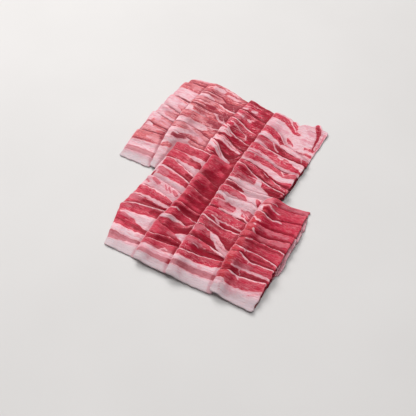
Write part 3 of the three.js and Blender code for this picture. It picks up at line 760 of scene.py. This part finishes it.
# The strongest of some soft patches: each is a smooth step of the depth in its stroke.
def softPatch(strokes, x, y):
    patch = np.zeros(x.shape)
    for stroke in strokes:
        patch = np.maximum(patch, smoothStep(*marks["softStep"], strokeDepth(stroke, x, y)))
    return patch


# How deep each place lies in fat, below 0 in lean: the greatest depth in the strokes of fat, cut out
# by the lean ones, then the veins. All strokes are bent by slow waves.
def marbling(piece, x, y, seed):
    bends = [[height * slowWaves(x, y, length, seed + 2 * axis + step)
              for step, (length, height) in enumerate(marks["bends"])] for axis in (0, 1)]
    x = x + sum(bends[0])
    y = y + sum(bends[1])
    fat = np.full(x.shape, marks["deepFat"] if piece.get("ground") == "fat" else marks["deepLean"])
    for stroke in piece.get("fat", []):
        fat = np.maximum(fat, strokeDepth(stroke, x, y))
    for stroke in piece.get("lean", []):
        fat = np.minimum(fat, -strokeDepth(stroke, x, y))
    for stroke in piece.get("veins", []):
        fat = np.maximum(fat, strokeDepth(stroke, x, y))
    return fat, softPatch(piece.get("pale", []), x, y), softPatch(piece.get("dark", []), x, y)


# The depth in a rim of fat along a side: its width, which varies in waves, less the distance.
def rimFat(width, kind, along, distance, seed):
    mean, size = marks[kind]
    return width * (mean + wavesAlong(along, size, seed)) - distance


# What the shader reads at each place: the depth in fat, and masks from 0 to 1. Painted shade lies
# behind the next slice's inner edge and along the row's right-hand side, and a painted highlight in
# front of the slice's own inner edge.
def markSlice(row, piece, following, a, b, size, plan, seed):
    width, depth = size
    planX, planY = plan
    fat, pale, dark = marbling(piece, planX, planY, seed + 20)
    fat = np.maximum(fat, rimFat(piece.get("edgeFat", row["edgeFat"]), "edgeFat", a, b, seed + 30))
    if piece.get("tail"):
        tail = np.minimum(a - width + marks["tailWidth"], b - piece["shows"] - 1)
        fat = np.maximum(fat, tail)
        # The fat that sticks out under the slices gets painted shade.
        dark = np.maximum(dark, smoothStep(-1, 1, tail) * marks["tailShade"])
    sideFat = row.get("sideFat", 0.0)
    fat = np.maximum(fat, rimFat(sideFat, "sideFat", b, a, seed + 31))
    # A pale band along a left side with a rim of fat: paler meat and a painted highlight on that raised
    # edge.
    pale = np.maximum(pale, marks["paleSideMost"] * fade(marks["paleSide"], a) * (sideFat > 0))

    # Painted shade along the row's right-hand side.
    shade = row["rightShade"] * fade(marks["rightSide"], width - a)
    crease = 0 * b
    # Painted shade behind the next slice's inner edge, stronger towards the right.
    if following:
        nextEdge = drawnEdge(following)[0]
        behind = planY - np.interp(planX, nextEdge[:, 0], nextEdge[:, 1])
        sticksOut = max(piece.get("out", 0.0) - following.get("out", 0.0), 0.0)
        covered = smoothStep(-1, 0, a - sticksOut)
        rightMore = marks["creviceLeft"] + (1 - marks["creviceLeft"]) * a / width
        crevice = fade(marks["crevice"], behind) * smoothStep(*marks["creviceStart"], b) * covered
        shade = np.maximum(shade, row["shade"] * rightMore * crevice)
        # A painted shadow line, the crease, right behind the next slice's inner edge.
        crease = row["crease"] * fade(marks["crease"], behind) * smoothStep(*marks["creaseStart"], b)
        crease = crease * covered * smoothStep(-0.3, row.get("creaseFrom", -0.2), a / width)
    back = smoothStep(*marks["backStep"], planY)
    return {
        "fat": fat, "pale": pale, "dark": dark, "shade": shade, "crease": crease,
        # Painted highlight in front of the slice's own inner edge.
        "paintedLight": smoothStep(*marks["brightStart"], b) * fade(marks["paintedLight"], b),
        # Painted light: warmer lean on the lit left flank of the row.
        "warm": row.get("litWarmSide", 0.0) * fade(marks["warm"], a),
        # Greyer fat near the skin side: partly its own tone, partly painted shade of the front.
        "rindShade": fade(marks["rindShade"], depth - b),
        "faded": row.get("fades", 1.0) * fade(marks["faded"], depth - b),
        **{name: row[name][0] + (row[name][1] - row[name][0]) * back for name in ("streaky", "mauve")},
    }


# One value for each vertex, which the shader reads by name.
def addAttribute(mesh, name, values):
    mesh.attributes.new(name, "FLOAT", "POINT").data.foreach_set("value", values.astype(np.float32))


# Two lattices of points, half a thickness above and below the middle. They share the vertices of the
# rim, so the mesh is closed without a joint.
def meshOfSlice(piece, place, middle, half, plan, values, draw):
    lines, columns = middle.shape
    top = np.arange(lines * columns).reshape(lines, columns)
    under = top.copy()
    under[1:-1, 1:-1] = lines * columns + np.arange((lines - 2) * (columns - 2)).reshape(lines - 2, -1)
    x = place[0] + layers["shift"][0]
    y = place[1] + layers["shift"][1]
    upper = np.stack([x, y, middle + half], -1).reshape(-1, 3)
    lower = np.stack([x, y, middle - half], -1)[1:-1, 1:-1].reshape(-1, 3)
    vertices = np.concatenate([upper, lower]) / 1000

    # Each square of four neighbouring vertices is a face.
    def quads(order):
        corners = [order[:-1, :-1], order[1:, :-1], order[1:, 1:], order[:-1, 1:]]
        return np.stack(corners, -1).reshape(-1, 4)

    faces = np.concatenate([quads(top), quads(under)[:, ::-1]])
    mesh = bpy.data.meshes.new(f"meat_{piece['name']}")
    mesh.from_pydata(vertices.tolist(), [], faces.tolist())
    mesh.shade_smooth()

    # A field's values on the top, then on the inner vertices of the underside.
    def onAll(field):
        return np.concatenate([field.ravel(), field[1:-1, 1:-1].ravel()])

    for name, field in values.items():
        addAttribute(mesh, name, onAll(field))
    offset = draw.uniform(0, 5, 2)
    spots = np.stack([onAll(plan[0]) / 100 + offset[0], onAll(plan[1]) / 100 + offset[1]], -1)
    corners = np.empty(len(mesh.loops), int)
    mesh.loops.foreach_get("vertex_index", corners)
    mesh.uv_layers.new(name="plan").data.foreach_set("uv", spots[corners].astype(np.float32).ravel())
    return mesh


# How far each vertex stands above the final surface round it, for the painted shade in the
# hollows and the painted highlight on the ridges.
def addRelief(mesh, heights):
    places = np.empty(3 * len(mesh.vertices))
    mesh.vertices.foreach_get("co", places)
    x, y, z = places.reshape(-1, 3).T * 1000
    shiftX, shiftY = layers["shift"]
    above = heights.relief(x - shiftX, y - shiftY, z, marks["reliefWidth"], marks["reliefReach"])
    addAttribute(mesh, "relief", above)


# A value in a shader. The usual operators on it add Math nodes.
class Value:
    def __init__(self, shader, socket):
        self.shader = shader
        self.socket = socket

    def __add__(self, other):
        return self.shader.math("ADD", self, other)

    def __sub__(self, other):
        return self.shader.math("SUBTRACT", self, other)

    def __mul__(self, other):
        return self.shader.math("MULTIPLY", self, other)

    def __rsub__(self, other):
        return self.shader.math("SUBTRACT", other, self)

    def __abs__(self):
        return self.shader.math("ABSOLUTE", self, 0.0)

    __radd__ = __add__
    __rmul__ = __mul__


class Shader:
    def __init__(self, name):
        self.material = bpy.data.materials.new(name)
        self.material.use_nodes = True
        self.tree = self.material.node_tree
        self.tree.nodes.clear()

    # One node: its settings first, then its sockets by name or number, as values or links.
    def node(self, kind, settings=None, sockets=None):
        made = self.tree.nodes.new(kind)
        for key, value in (settings or {}).items():
            setattr(made, key, value)
        for key, value in (sockets or {}).items():
            if isinstance(value, Value):
                self.tree.links.new(value.socket, made.inputs[key])
            elif isinstance(value, bpy.types.NodeSocket):
                self.tree.links.new(value, made.inputs[key])
            else:
                made.inputs[key].default_value = value
        return made

    # One sum, difference, product or the like of two values.
    def math(self, operation, first, second):
        made = self.node("ShaderNodeMath", {"operation": operation}, {0: first, 1: second})
        return Value(self, made.outputs[0])

    # What the mesh says at each vertex under that name.
    def attribute(self, name):
        return Value(self, self.node("ShaderNodeAttribute", {"attribute_name": name}).outputs["Fac"])

    # A smooth step of a value from low to high, between the two results.
    def step(self, value, low, high, toLow=0.0, toHigh=1.0):
        made = self.node("ShaderNodeMapRange", {"interpolation_type": "SMOOTHSTEP"}, {
            "Value": value, "From Min": low, "From Max": high, "To Min": toLow, "To Max": toHigh})
        return Value(self, made.outputs["Result"])

    # Flat noise from 0 to 1, about 0.5, with that many cells in a unit of the vector.
    def noise(self, vector, scale, detail, roughness, distortion=0.0):
        made = self.node("ShaderNodeTexNoise", {"noise_dimensions": "2D"}, {
            "Vector": vector, "Scale": scale, "Detail": detail, "Roughness": roughness,
            "Distortion": distortion})
        return Value(self, made.outputs[0])

    # Noise with long cells: the vector is turned, and scaled by one number along and one across.
    def grain(self, vector, turn, along, across, detail, roughness, distortion):
        made = self.node("ShaderNodeMapping", {}, {
            "Vector": vector, "Rotation": (0, 0, turn), "Scale": (along, across, 1)})
        return self.noise(made.outputs["Vector"], 1.0, detail, roughness, distortion)

    # One colour mixed over another by a factor.
    def blend(self, factor, first, second):
        made = self.node("ShaderNodeMix", {"data_type": "RGBA", "blend_type": "MIX"},
                         {0: factor, 6: first, 7: second})
        return made.outputs[2]


# Colours are linear red, green, blue. The numbers after them are how strongly each layer covers what
# is under it, apart from the values between which the streaks in the fat grow, roughness and bump.
meat = {
    "leanDeep": (0.515, 0.018, 0.053, 1),
    "leanBright": (0.66, 0.068, 0.110, 1),
    "leanPale": (0.68, 0.205, 0.255, 1),
    # The colour of painted highlights, on ridges and in front of each inner edge.
    "leanHighlight": (0.66, 0.125, 0.165, 1),
    "leanDark": (0.255, 0.002, 0.015, 1),
    "leanFaded": (0.50, 0.205, 0.235, 1),
    # Warmer lean in random patches, and the painted light on a lit left flank.
    "leanWarm": (0.50, 0.026, 0.036, 1),
    # The colour of the painted shadow line, the crease.
    "creaseShadow": (0.19, 0.008, 0.018, 1),
    "fatWhite": (0.79, 0.555, 0.60, 1),
    "fatPink": (0.90, 0.42, 0.465, 1),
    # Fat under painted shade, and darker fat in dark patches.
    "fatShade": (0.45, 0.15, 0.19, 1),
    "fatLine": (0.62, 0.20, 0.25, 1),
    "fatMauve": (0.70, 0.30, 0.36, 1),
    # Greyer fat near the skin side, partly painted shade.
    "fatRindShade": (0.54, 0.46, 0.485, 1),
    "warm": 0.7, "threads": 0.35, "furrows": 0.9, "lines": 1.0, "pale": 0.85, "paintedLight": 0.45,
    "faded": 0.7, "dark": 0.88, "shade": 0.85, "hollow": 0.6, "ridge": 0.5,
    "streaks": 0.8, "bleed": 0.8, "fatLines": 0.45, "mauve": 1.0, "rindShade": 0.8, "fatHollow": 0.5,
    "shadeOnFat": 0.1, "darkOnFat": 0.55,
    "crease": 0.85, "creaseFades": 0.8, "streaksFrom": 0.0, "streaksTo": 0.4,
    "roughLean": 0.42, "roughFat": 0.48, "bump": 0.5, "bumpDistance": 0.0011,
}
paleMeat = {**meat, "leanDeep": (0.52, 0.070, 0.090, 1), "leanBright": (0.68, 0.155, 0.170, 1),
            "leanPale": (0.71, 0.29, 0.32, 1), "leanHighlight": (0.74, 0.26, 0.28, 1),
            "leanDark": (0.27, 0.014, 0.034, 1), "leanWarm": (0.64, 0.13, 0.115, 1),
            "creaseShadow": (0.20, 0.03, 0.045, 1), "fatShade": (0.45, 0.16, 0.19, 1), "fatHollow": 0.7,
            "creaseFades": 0.15, "streaksFrom": -0.15, "threads": 0.7}

# Noises on the plan, where 1 is 100 mm: cells, detail and roughness.
noises = {
    "slow": (9, 2, 0.5),
    "ragged": (30, 3, 0.6),
    "frayed": (120, 2, 0.6),
    "gloss": (60, 2, 0.5),
    "pores": (190, 2, 0.5),
}

# Grains are long noises: turn, cells along and across the fibres, detail, roughness and distortion.
grains = {
    "broad": (0.12, 8, 46, 3, 0.6, 0.6),
    "fibres": (0.3, 15, 78, 2, 0.6, 0.3),
    "threads": (0.2, 10, 72, 3, 0.65, 1.5),
    "winding": (0.08, 5.5, 32, 2, 0.5, 1.0),
    "furrows": (-0.05, 7, 48, 2, 0.5, 0.8),
}

# Shares of the slow, broad and fibre noise in other values.
breaks = {
    "tone": (0.9, 1.3, 1.1),
    "relief": (0.8, 0.8, 0),
    "streaks": (0.6, 1.3, 1.3),
    "mauve": (0, 1.6, 1.2),
    "height": (0, 0.8, 0.8),
}

# Masks: the share of an attribute, then of the slow, broad and fibre noise that break it up, and the
# two values that the sum steps between.
masks = {
    "warm": (1.0, 1.6, 0, 0.5, 0.1, 0.9),
    "pale": (0.75, 0, 0.9, 1.3, 0.25, 0.8),
    "paintedLight": (1.0, 0, 1.2, 1.2, 0.3, 1.2),
    "faded": (1.0, 0.4, 0.8, 0, 0.1, 0.9),
    "dark": (0.85, 0, 1.1, 1.3, 0.2, 0.95),
    "shade": (1.0, 0, 0.5, 0.5, 0.05, 0.95),
    "rindShade": (1.0, 0.5, 0.8, 0, 0.1, 0.9),
    "crease": (1.0, 0.8, 0, 0.6, 0.2, 0.8),
}

# Steps of other values: from, to, and the results there where they aren't 0 and 1.
steps = {
    "inFat": (-0.4, 0.35),
    "bleed": (0.1, 1.8, 1.0, 0.0),
    "threads": (0.56, 0.66),
    "furrows": (0.54, 0.64),
    "lines": (0.042, 0.006),
    "hollow": (-0.15, -1.2),
    "ridge": (0.35, 1.4),
    "tone": (-0.25, 0.35),
    "mauve": (0.05, 0.9),
    "rough": (0.3, 0.7, -0.06, 0.08),
}

# How far two noises move the outline of the fat, how far fibres move its winding lines, how much pale
# places are mauve in fat, the heights of fat, lines and pores for the bump, and the wet coat.
face = {
    "ragged": 0.9, "frayed": 0.5, "linesFrayed": 0.06, "paleMauve": 0.4,
    "fatHigh": 0.25, "linesHigh": 0.2, "poresHigh": 0.15, "coat": 0.04, "ridgeCoat": 0.25,
}


# The cut face of the meat. The drawn depth in fat, roughened by noise, parts fat from lean. Both are
# layers of colour, each mixed over the last one by a mask times its strength: lean has fibres, pale
# threads, dark furrows, winding lines of fat, warm places that on a lit left flank are painted light,
# a painted highlight in front of each inner edge, faded places, dark places that are darker meat and
# painted shade, and painted shade behind inner edges and along right-hand sides; fat has streaks, a
# pink bleed near the lean, mauve places and greyer fat near the skin side that is partly painted
# shade. Hollows get painted shade, ridges a painted highlight, and a painted shadow line, the crease,
# lies over both.
def makeMeat(name, values):
    shader = Shader(name)
    uv = shader.node("ShaderNodeUVMap", {"uv_map": "plan"}).outputs["UV"]
    ragged = (shader.noise(uv, *noises["ragged"]) - 0.5) * face["ragged"]
    frayed = (shader.noise(uv, *noises["frayed"]) - 0.5) * face["frayed"]
    depth = shader.attribute("fat") + ragged + frayed
    inFat = shader.step(depth, *steps["inFat"])
    bleed = shader.step(depth, *steps["bleed"])
    slow = shader.noise(uv, *noises["slow"]) - 0.5
    broad = shader.grain(uv, *grains["broad"]) - 0.5
    fibres = shader.grain(uv, *grains["fibres"]) - 0.5

    # The sum of other values and of the slow, broad and fibre noise, each times its share.
    def uneven(shares, *others):
        parts = list(others)
        parts += [noise * share for noise, share in zip((slow, broad, fibres), shares) if share]
        total = parts[0]
        for part in parts[1:]:
            total = total + part
        return total

    # A smooth step of the attribute times its share, broken up by the noises.
    def mask(kind):
        share, *shares, low, high = masks[kind]
        return shader.step(uneven(shares, shader.attribute(kind) * share), low, high)

    # Coats of colour, each mixed over the last one by its factor times its strength.
    def paint(colour, coats):
        for factor, strength, coat in coats:
            colour = shader.blend(factor * values[strength], colour, values[coat])
        return colour

    streaky = shader.attribute("streaky")
    threads = shader.step(shader.grain(uv, *grains["threads"]), *steps["threads"])
    furrows = shader.step(shader.grain(uv, *grains["furrows"]), *steps["furrows"])
    winding = shader.grain(uv, *grains["winding"]) - 0.5
    lines = shader.step(abs(winding) - fibres * face["linesFrayed"], *steps["lines"])
    dark = mask("dark")
    # Painted shade behind inner edges and along right-hand sides.
    shade = mask("shade")
    # Hollows get painted shade and ridges a painted highlight, by how far each place stands above the
    # surface round it.
    relief = uneven(breaks["relief"], shader.attribute("relief"))
    hollow = shader.step(relief, *steps["hollow"])
    ridge = shader.step(relief, *steps["ridge"])

    tone = shader.step(uneven(breaks["tone"]), *steps["tone"])
    lean = shader.blend(tone, values["leanDeep"], values["leanBright"])
    lean = paint(lean, [
        # Warm patches at random, and painted light on the lit left flank.
        (mask("warm"), "warm", "leanWarm"),
        (threads, "threads", "leanPale"),
        (furrows * streaky, "furrows", "leanDark"),
        (lines * streaky, "lines", "fatPink"),
        (mask("pale"), "pale", "leanPale"),
        # Painted highlight in front of each inner edge.
        (mask("paintedLight"), "paintedLight", "leanHighlight"),
        (mask("faded"), "faded", "leanFaded"),
        # Dark patches: darker meat, and painted shade in crevices and folds.
        (dark, "dark", "leanDark"),
        # Painted shade behind inner edges and along right-hand sides.
        (shade, "shade", "leanDark"),
        # Painted shade in hollows and painted highlight on ridges.
        (hollow, "hollow", "leanDark"),
        (ridge, "ridge", "leanHighlight"),
    ])

    streaks = shader.step(uneven(breaks["streaks"]), values["streaksFrom"], values["streaksTo"])
    paleFat = shader.attribute("pale") * face["paleMauve"]
    mauve = uneven(breaks["mauve"], shader.attribute("mauve"), paleFat)
    fat = paint(values["fatWhite"], [
        (streaks, "streaks", "fatPink"),
        (bleed, "bleed", "fatPink"),
        (lines, "fatLines", "fatLine"),
        (shader.step(mauve, *steps["mauve"]), "mauve", "fatMauve"),
        # Greyer fat near the skin side, partly painted shade.
        (mask("rindShade"), "rindShade", "fatRindShade"),
    ])
    # Fat darkens under the painted shade and in the dark patches, which are darker meat and painted
    # shade.
    darkFat = shade * values["shadeOnFat"] + dark * values["darkOnFat"]
    fat = shader.blend(darkFat, fat, values["fatShade"])
    # Painted shade in the hollows of the fat.
    fat = shader.blend(hollow * values["fatHollow"], fat, values["fatShade"])
    # A painted shadow line, the crease, lies over lean and fat, fainter on fat.
    crease = mask("crease") * (1 - inFat * values["creaseFades"]) * values["crease"]
    colour = shader.blend(crease, shader.blend(inFat, lean, fat), values["creaseShadow"])

    rough = shader.step(shader.noise(uv, *noises["gloss"]), *steps["rough"])
    rough = rough + inFat * (values["roughFat"] - values["roughLean"]) + values["roughLean"]
    pores = shader.noise(uv, *noises["pores"]) * face["poresHigh"]
    height = uneven(breaks["height"], inFat * face["fatHigh"], lines * face["linesHigh"], pores)
    bump = shader.node("ShaderNodeBump", {}, {
        "Strength": values["bump"], "Distance": values["bumpDistance"], "Height": height})
    surface = shader.node("ShaderNodeBsdfPrincipled", {}, {
        "Base Color": colour, "Roughness": rough, "Normal": bump.outputs["Normal"],
        "Subsurface Weight": 0.12, "Subsurface Radius": (1.0, 0.35, 0.25), "Subsurface Scale": 0.0015,
        "Coat Weight": ridge * face["ridgeCoat"] + face["coat"], "Coat Roughness": 0.2,
        "Specular IOR Level": 0.1, "IOR": 1.4})
    shader.node("ShaderNodeOutputMaterial", {}, {"Surface": surface.outputs["BSDF"]})
    return shader.material


materials = {"pale_slices": makeMeat("pale_meat", paleMeat), "red_slices": makeMeat("red_meat", meat)}
heights = Heights(layers["gridCorner"], layers["gridCells"])
meshes = []
for row in rows:
    prepareRow(row)
    stackProfiles(row)
    drapeRow(row, heights)
    slices = row["slices"]
    for index, (piece, following) in enumerate(zip(slices, slices[1:] + [None])):
        seed = 1000 * ord(row["name"]) + 17 * index
        mesh = makeSlice(row, piece, following, seed, heights)
        mesh.materials.append(materials[row["slot"]])
        meshes.append(mesh)
        slab = bpy.data.objects.new(f"meat_{piece['name']}", mesh)
        bpy.context.scene.collection.objects.link(slab)
        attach(slab, "root")
        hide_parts(f"slice_{piece['name']}")
    print("row", row["name"], "laid,", len(slices), "slices, up to", round(heights.grid.max(), 1), "mm")
for mesh in meshes:
    addRelief(mesh, heights)
print("hollows and ridges marked on", len(meshes), "slices")

# Metres and watts. A light is its place, aim, size, power and colour.
studio = {
    "floor": 3.0,       # from the middle to each side
    "floorLow": (0.62, 0.61, 0.60, 1),
    "floorHigh": (0.68, 0.67, 0.66, 1),
    "floorNoise": 6.0,  # cells in a metre, and their detail
    "floorDetail": 3.0,
    "floorRough": 0.75,
    "ambient": (1.0, 0.98, 1.0, 1),
    "ambientStrength": 0.14,
    "lights": {
        "window": ((-1.5, 1.18, 1.66), (0, 0, 0), 1.4, 66.0, (1.0, 0.98, 0.97)),
        "top": ((0.15, -0.2, 1.6), (0, 0, 0), 0.8, 11.0, (1.0, 1.0, 1.0)),
        "front": ((0.9, -1.2, 0.9), (0, 0, 0), 0.8, 1.2, (1.0, 0.98, 0.96)),
    },
}


# The floor's two tones, mixed by soft noise.
def makeFloor(values):
    shader = Shader("floor_matt")
    where = shader.node("ShaderNodeTexCoord").outputs["Object"]
    noise = shader.node("ShaderNodeTexNoise", {}, {
        "Vector": where, "Scale": values["floorNoise"], "Detail": values["floorDetail"]})
    colour = shader.blend(noise.outputs[0], values["floorLow"], values["floorHigh"])
    surface = shader.node("ShaderNodeBsdfPrincipled", {}, {
        "Base Color": colour, "Roughness": values["floorRough"]})
    shader.node("ShaderNodeOutputMaterial", {}, {"Surface": surface.outputs["BSDF"]})
    return shader.material


floorMesh = bpy.data.meshes.new("floor")
side = studio["floor"]
floorMesh.from_pydata([(-side, -side, 0), (side, -side, 0), (side, side, 0), (-side, side, 0)], [],
                      [(0, 1, 2, 3)])
floorMesh.materials.append(makeFloor(studio))
floor = bpy.data.objects.new("floor", floorMesh)
bpy.context.scene.collection.objects.link(floor)

for name, (place, aim, size, watts, colour) in studio["lights"].items():
    light = bpy.data.lights.new(name, "AREA")
    light.size = size
    light.energy = watts
    light.color = colour
    lamp = bpy.data.objects.new(name, light)
    lamp.location = place
    lamp.rotation_euler = (Vector(aim) - Vector(place)).to_track_quat("-Z", "Y").to_euler()
    bpy.context.scene.collection.objects.link(lamp)

world = bpy.data.worlds.new("studio")
world.use_nodes = True
background = world.node_tree.nodes["Background"]
background.inputs["Color"].default_value = studio["ambient"]
background.inputs["Strength"].default_value = studio["ambientStrength"]
bpy.context.scene.world = world
bpy.context.scene.view_settings.view_transform = "Standard"

view = {
    "place": (0.3049, -0.5776, 0.7215),
    "aim": (0.01354, -0.04153, 0.008),
    "roll": 0.891,      # degrees
    "lens": 71.58,      # mm, on a sensor 36 mm wide
    "sensor": 36.0,
    "shiftY": -0.0096,
}

lens = bpy.data.cameras.new("camera")
lens.lens = view["lens"]
lens.sensor_width = view["sensor"]
lens.shift_y = view["shiftY"]
camera = bpy.data.objects.new("camera", lens)
camera.location = view["place"]
looking = (Vector(view["aim"]) - Vector(view["place"])).to_track_quat("-Z", "Y")
camera.rotation_mode = "QUATERNION"
camera.rotation_quaternion = looking @ Quaternion((0, 0, 1), math.radians(view["roll"]))
bpy.context.scene.collection.objects.link(camera)
bpy.context.scene.camera = camera
print("stage, lights and camera set")
